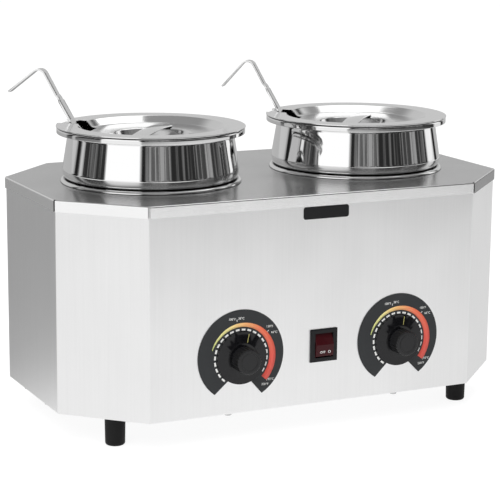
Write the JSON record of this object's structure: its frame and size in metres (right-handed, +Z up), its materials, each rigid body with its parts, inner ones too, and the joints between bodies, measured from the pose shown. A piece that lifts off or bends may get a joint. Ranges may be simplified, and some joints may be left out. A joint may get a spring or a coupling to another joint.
{
  "type": "countertop food warmer",
  "caption": "Countertop food warmer with a steel casing with cut corners, round pots in sunk wells, sunk lids with ladles, dial thermostats and a rocker switch.",
  "frame": {"origin": "on the counter, under the middle of the casing, at the level of the feet", "axes": "+Z up, +X to the right along the length of the casing, front with the knobs at -Y"},
  "size_m": [0.48, 0.2986, 0.3409],
  "materials": {
    "brushed_casing": "matt brushed stainless sheet",
    "bright_steel": "bright drawn stainless steel",
    "mirror_steel": "polished stainless steel",
    "plain_sheet": "plain galvanised sheet",
    "plain_screws": "plated fasteners",
    "black_plastic": "satin black moulding",
    "knob_black": "glossy black moulding",
    "red_rocker": "dark translucent red moulding",
    "white_plastic": "white terminal block",
    "brass_blades": "plain brass",
    "copper_bulb": "drawn copper",
    "dark_element": "oxidised element sheath",
    "dial_print": "matt charcoal plate",
    "black_rubber": "matt black rubber"
  },
  "bodies": {
    "casing": {"deck_top": "brushed_casing", "body_shell": "brushed_casing", "back_panel": "brushed_casing", "back_panel_screws": "plain_screws", "cord_bushing": "black_plastic", "bottom_plate": "plain_sheet", "bottom_plate_screws": "plain_screws", "terminal_block": "white_plastic", "terminal_block_screws": "plain_screws", "foot_screws": "plain_screws", "foot_nuts": "plain_screws", "clamp_studs": "plain_screws", "clamp_nuts": "plain_screws", "thermostat_nuts": "plain_screws", "bulb_clips": "plain_sheet", "switch_housing": "black_plastic", "switch_blades": "brass_blades", "foot_front_left": "black_rubber", "foot_front_right": "black_rubber", "foot_back_left": "black_rubber", "foot_back_right": "black_rubber", "well_left": "bright_steel", "heating_element_left": "dark_element", "element_clamp_left": "plain_sheet", "thermostat_left": "plain_sheet", "thermostat_bulb_left": "copper_bulb", "dial_plate_left": "dial_print", "well_right": "bright_steel", "heating_element_right": "dark_element", "element_clamp_right": "plain_sheet", "thermostat_right": "plain_sheet", "thermostat_bulb_right": "copper_bulb", "dial_plate_right": "dial_print"},
    "rocker": {"switch_rocker": "red_rocker"},
    "pot_body_left": {"pot_left": "mirror_steel"},
    "lid_body_left": {"lid_left": "bright_steel", "lid_handle_left": "bright_steel"},
    "ladle_body_left": {"ladle_bowl_left": "bright_steel", "ladle_handle_left": "bright_steel"},
    "knob_body_left": {"knob_left": "knob_black", "thermostat_shaft_left": "plain_screws"},
    "pot_body_right": {"pot_right": "mirror_steel"},
    "lid_body_right": {"lid_right": "bright_steel", "lid_handle_right": "bright_steel"},
    "ladle_body_right": {"ladle_bowl_right": "bright_steel", "ladle_handle_right": "bright_steel"},
    "knob_body_right": {"knob_right": "knob_black", "thermostat_shaft_right": "plain_screws"}
  },
  "joints": [
    {"name": "lift_pot_left", "type": "slide", "parent": "casing", "child": "pot_body_left", "axis": [0, 0, 1], "range_m": [0, 0.2]},
    {"name": "lift_lid_left", "type": "slide", "parent": "pot_body_left", "child": "lid_body_left", "axis": [0, 0, 1], "range_m": [0, 0.1]},
    {"name": "lift_ladle_left", "type": "slide", "parent": "pot_body_left", "child": "ladle_body_left", "axis": [-0.3528, 0.2857, 0.891], "range_m": [0, 0.1]},
    {"name": "turn_knob_left", "type": "hinge", "parent": "casing", "child": "knob_body_left", "pos_m": [-0.0797, -0.1377, 0.0845], "axis": [0, 1, 0], "range_deg": [-135, 125]},
    {"name": "lift_pot_right", "type": "slide", "parent": "casing", "child": "pot_body_right", "axis": [0, 0, 1], "range_m": [0, 0.2]},
    {"name": "lift_lid_right", "type": "slide", "parent": "pot_body_right", "child": "lid_body_right", "axis": [0, 0, 1], "range_m": [0, 0.1]},
    {"name": "lift_ladle_right", "type": "slide", "parent": "pot_body_right", "child": "ladle_body_right", "axis": [-0.3528, 0.2857, 0.891], "range_m": [0, 0.1]},
    {"name": "turn_knob_right", "type": "hinge", "parent": "casing", "child": "knob_body_right", "pos_m": [0.0902, -0.1377, 0.0845], "axis": [0, 1, 0], "range_deg": [-135, 125]},
    {"name": "tip_rocker", "type": "hinge", "parent": "casing", "child": "rocker", "pos_m": [0.0082, -0.1352, 0.0874], "axis": [1, 0, 0], "range_deg": [0, 20]}
  ]
}
